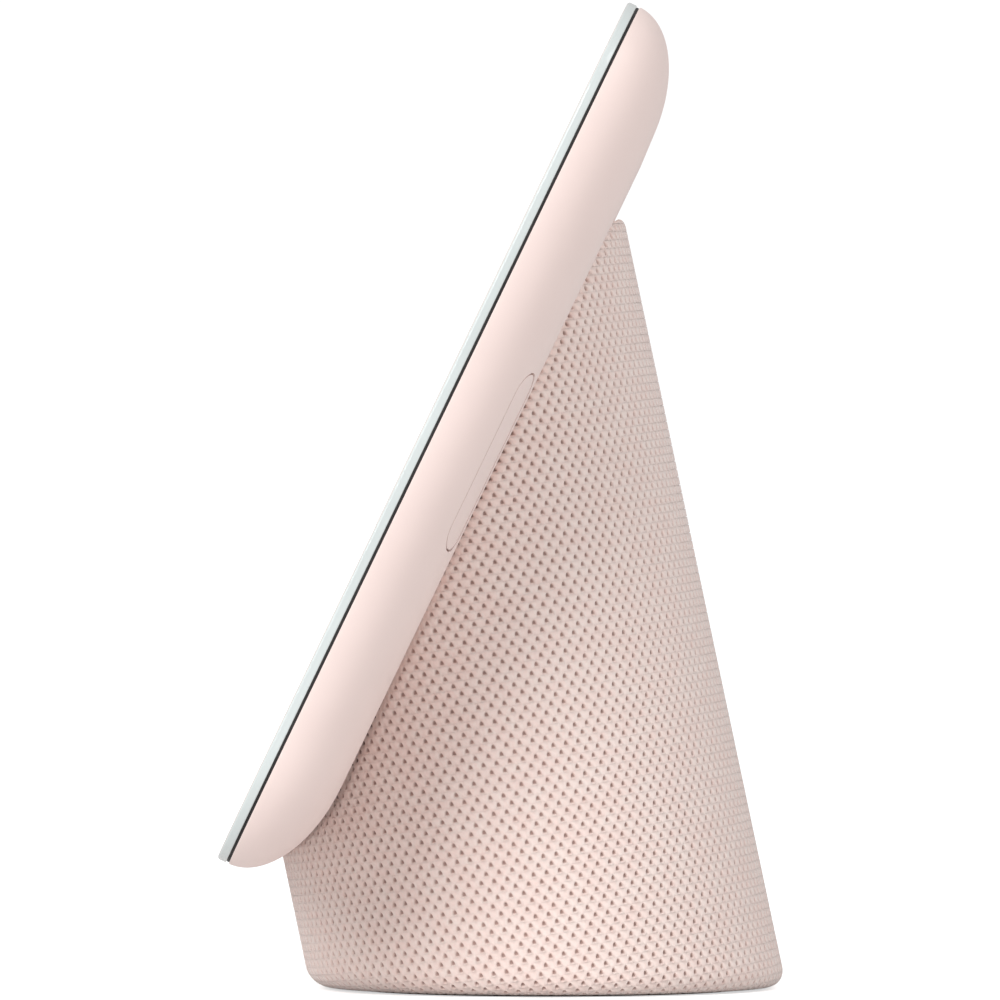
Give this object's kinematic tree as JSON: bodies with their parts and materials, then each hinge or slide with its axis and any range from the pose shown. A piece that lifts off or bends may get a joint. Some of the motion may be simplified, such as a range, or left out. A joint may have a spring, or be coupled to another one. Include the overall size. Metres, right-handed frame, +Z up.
{
  "type": "smart display",
  "caption": "Smart display with a thin glass-fronted screen that leans back on an oval, fabric-covered speaker stand, with a volume rocker and a mute slider.",
  "frame": {"origin": "centre of the stand's round-ended footprint, on the underside of its foot", "axes": "+Z up; the screen faces -Y; +X to the right seen from the front, the side that carries the volume rocker"},
  "size_m": [0.1774, 0.0694, 0.1204],
  "materials": {
    "glass": "polished, edge faintly green",
    "adhesive": "dark bonding tape",
    "panel": "dark picture panel, off",
    "light_guide": "clear acrylic, white behind",
    "plated_steel": "tin-plated sheet",
    "aluminium": "plain sheet",
    "thermal_pad": "soft silicone pad",
    "board": "solder-masked circuit board",
    "flex": "flexible printed circuit",
    "module": "small sealed module",
    "housing": "satin moulded plastic, pale pink",
    "steel": "plated steel",
    "black_plastic": "moulded",
    "fabric": "knitted polyester, pale pink",
    "core": "moulded core",
    "foot": "soft silicone",
    "magnet": "ceramic magnet and steel plates",
    "cone": "treated paper",
    "rubber": "soft black rubber",
    "spider": "resin-dipped cloth",
    "copper": "enamelled copper wire",
    "foam": "closed-cell foam"
  },
  "bodies": {
    "housing": {"antenna_left": "flex", "antenna_right": "flex", "backlight_tray": "plated_steel", "ballast_plate": "steel", "chassis_plate": "aluminium", "chassis_screw_1": "steel", "chassis_screw_2": "steel", "chassis_screw_3": "steel", "chassis_screw_4": "steel", "cover_glass": "glass", "dc_jack": "black_plastic", "display_flex": "flex", "fabric_sleeve": "fabric", "floor_screw_1": "steel", "floor_screw_2": "steel", "floor_screw_3": "steel", "floor_screw_4": "steel", "glass_adhesive": "adhesive", "heat_spreader": "aluminium", "jack_bezel": "foot", "jack_pin": "steel", "lcd_panel": "panel", "light_guide": "light_guide", "light_sensor": "module", "main_board": "board", "main_lead": "flex", "microphone_left": "module", "microphone_right": "module", "motion_sensor": "module", "mute_board": "board", "mute_switch": "plated_steel", "neck_plate": "plated_steel", "neck_screw_1": "steel", "neck_screw_2": "steel", "neck_screw_3": "steel", "neck_screw_4": "steel", "power_board": "board", "rear_shell": "housing", "rocker_bracket": "black_plastic", "rocker_pin": "steel", "rubber_foot": "foot", "shield_can": "plated_steel", "speaker_basket": "black_plastic", "speaker_gasket": "foam", "speaker_lead": "rubber", "speaker_magnet": "magnet", "speaker_spider": "spider", "speaker_surround": "rubber", "stand_floor": "core", "stand_shell": "core", "thermal_pad": "thermal_pad", "volume_board": "board", "volume_down_switch": "plated_steel", "volume_up_switch": "plated_steel"},
    "rocker": {"volume_rocker": "housing"},
    "slider": {"mute_slider": "housing", "mute_lever": "black_plastic"},
    "cone": {"speaker_cone": "cone", "voice_coil": "copper"}
  },
  "joints": [
    {"name": "volume_rocker_tilt", "type": "hinge", "parent": "housing", "child": "rocker", "pos_m": [0.07937, -0.01002, 0.06637], "axis": [-0.9705, 0.2175, -0.1044], "range_deg": [-1.2, 1.2], "stiffness_Nm_per_rad": 0.05},
    {"name": "mute_slide", "type": "slide", "parent": "housing", "child": "slider", "axis": [1, 0, 0], "range_m": [0, 0.003]},
    {"name": "speaker_cone_stroke", "type": "slide", "parent": "housing", "child": "cone", "axis": [0, 0.9785, 0.2062], "range_m": [-0.001, 0.001], "stiffness_N_per_m": 1500, "deforming": ["speaker_surround", "speaker_spider"]}
  ]
}
